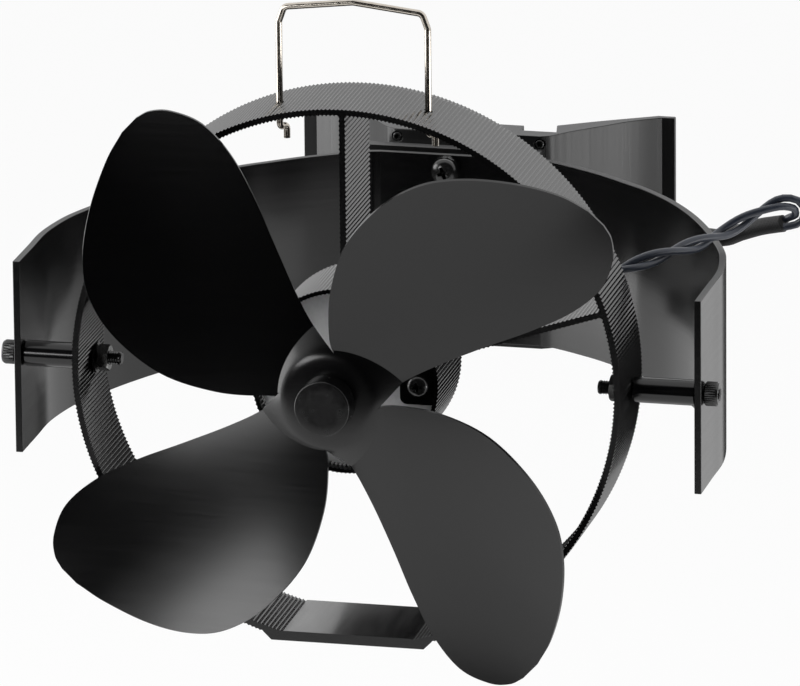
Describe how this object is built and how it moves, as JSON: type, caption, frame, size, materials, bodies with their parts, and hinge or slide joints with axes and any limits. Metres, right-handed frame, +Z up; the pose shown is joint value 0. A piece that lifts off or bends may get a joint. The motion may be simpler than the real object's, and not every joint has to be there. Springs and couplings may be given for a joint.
{
  "type": "stove fan",
  "caption": "Flue-pipe stove fan: twisted pressed blades turn on a small motor in a fluted, spoked ring that stands in a U-shaped cooling wing, with a wire handle and a magnetic pipe saddle.",
  "frame": {"origin": "centre of the flat strip at the back of the flue saddle, the face that rests against the flue pipe", "axes": "+Y points out of that face into the pipe, so the fan faces -Y and blows towards -Y; +X is the fan's right side as seen from the front; +Z is up, along the flue pipe"},
  "size_m": [0.2215, 0.2144, 0.19],
  "materials": {
    "black_anodised": "satin",
    "black_steel": "satin",
    "bright_zinc": "satin",
    "nickel_wire": "gloss",
    "black_plastic": "satin",
    "bronze": "satin",
    "dark_ferrite": "matte",
    "core_steel": "satin",
    "white_ceramic": "matte",
    "grey_graphite": "matte",
    "lead_jacket": "satin",
    "glass_sleeve": "matte",
    "mica_bush": "matte"
  },
  "bodies": {
    "frame": {"heat_sink_ring": "black_anodised", "cooling_wing": "black_anodised", "side_bolt_right": "black_steel", "side_bolt_left": "black_steel", "side_spacer_right": "black_anodised", "side_spacer_left": "black_anodised", "side_washer_right": "bright_zinc", "side_washer_left": "bright_zinc", "side_nut_right": "bright_zinc", "side_nut_left": "bright_zinc", "motor_can": "bright_zinc", "motor_bearing": "bronze", "motor_magnet_right": "dark_ferrite", "motor_magnet_left": "dark_ferrite", "motor_end_cap": "black_plastic", "motor_tab_right": "bronze", "motor_tab_left": "bronze", "motor_bracket": "bright_zinc", "bracket_screw_right": "black_steel", "bracket_screw_left": "black_steel", "motor_screw_upper": "bright_zinc", "motor_screw_lower": "bright_zinc", "thermal_pad_cold": "grey_graphite", "thermal_pad_hot": "grey_graphite", "generator_module": "white_ceramic", "hot_plate": "black_anodised", "flue_saddle": "black_anodised", "flue_magnet_right": "dark_ferrite", "flue_magnet_left": "dark_ferrite", "grub_screw_right": "black_steel", "grub_screw_left": "black_steel", "clamp_screw_upper": "black_steel", "clamp_screw_lower": "black_steel", "clamp_washer_upper": "bright_zinc", "clamp_washer_lower": "bright_zinc", "clamp_bush_upper": "mica_bush", "clamp_bush_lower": "mica_bush", "motor_lead_right": "lead_jacket", "motor_lead_left": "lead_jacket", "lead_sleeve": "glass_sleeve", "module_wire_upper": "lead_jacket", "module_wire_lower": "lead_jacket"},
    "rotor": {"fan_blades": "black_anodised", "hub_boss": "black_plastic", "motor_shaft": "core_steel", "motor_armature": "core_steel"},
    "handle": {"handle": "nickel_wire"}
  },
  "joints": [
    {"name": "fan_spin", "type": "hinge", "parent": "frame", "child": "rotor", "pos_m": [0, -0.1852, 0.0027], "axis": [0, 1, 0], "continuous": true},
    {"name": "handle_slide", "type": "slide", "parent": "frame", "child": "handle", "axis": [0, 0, 1], "range_m": [-0.0235, 0.0038]}
  ]
}
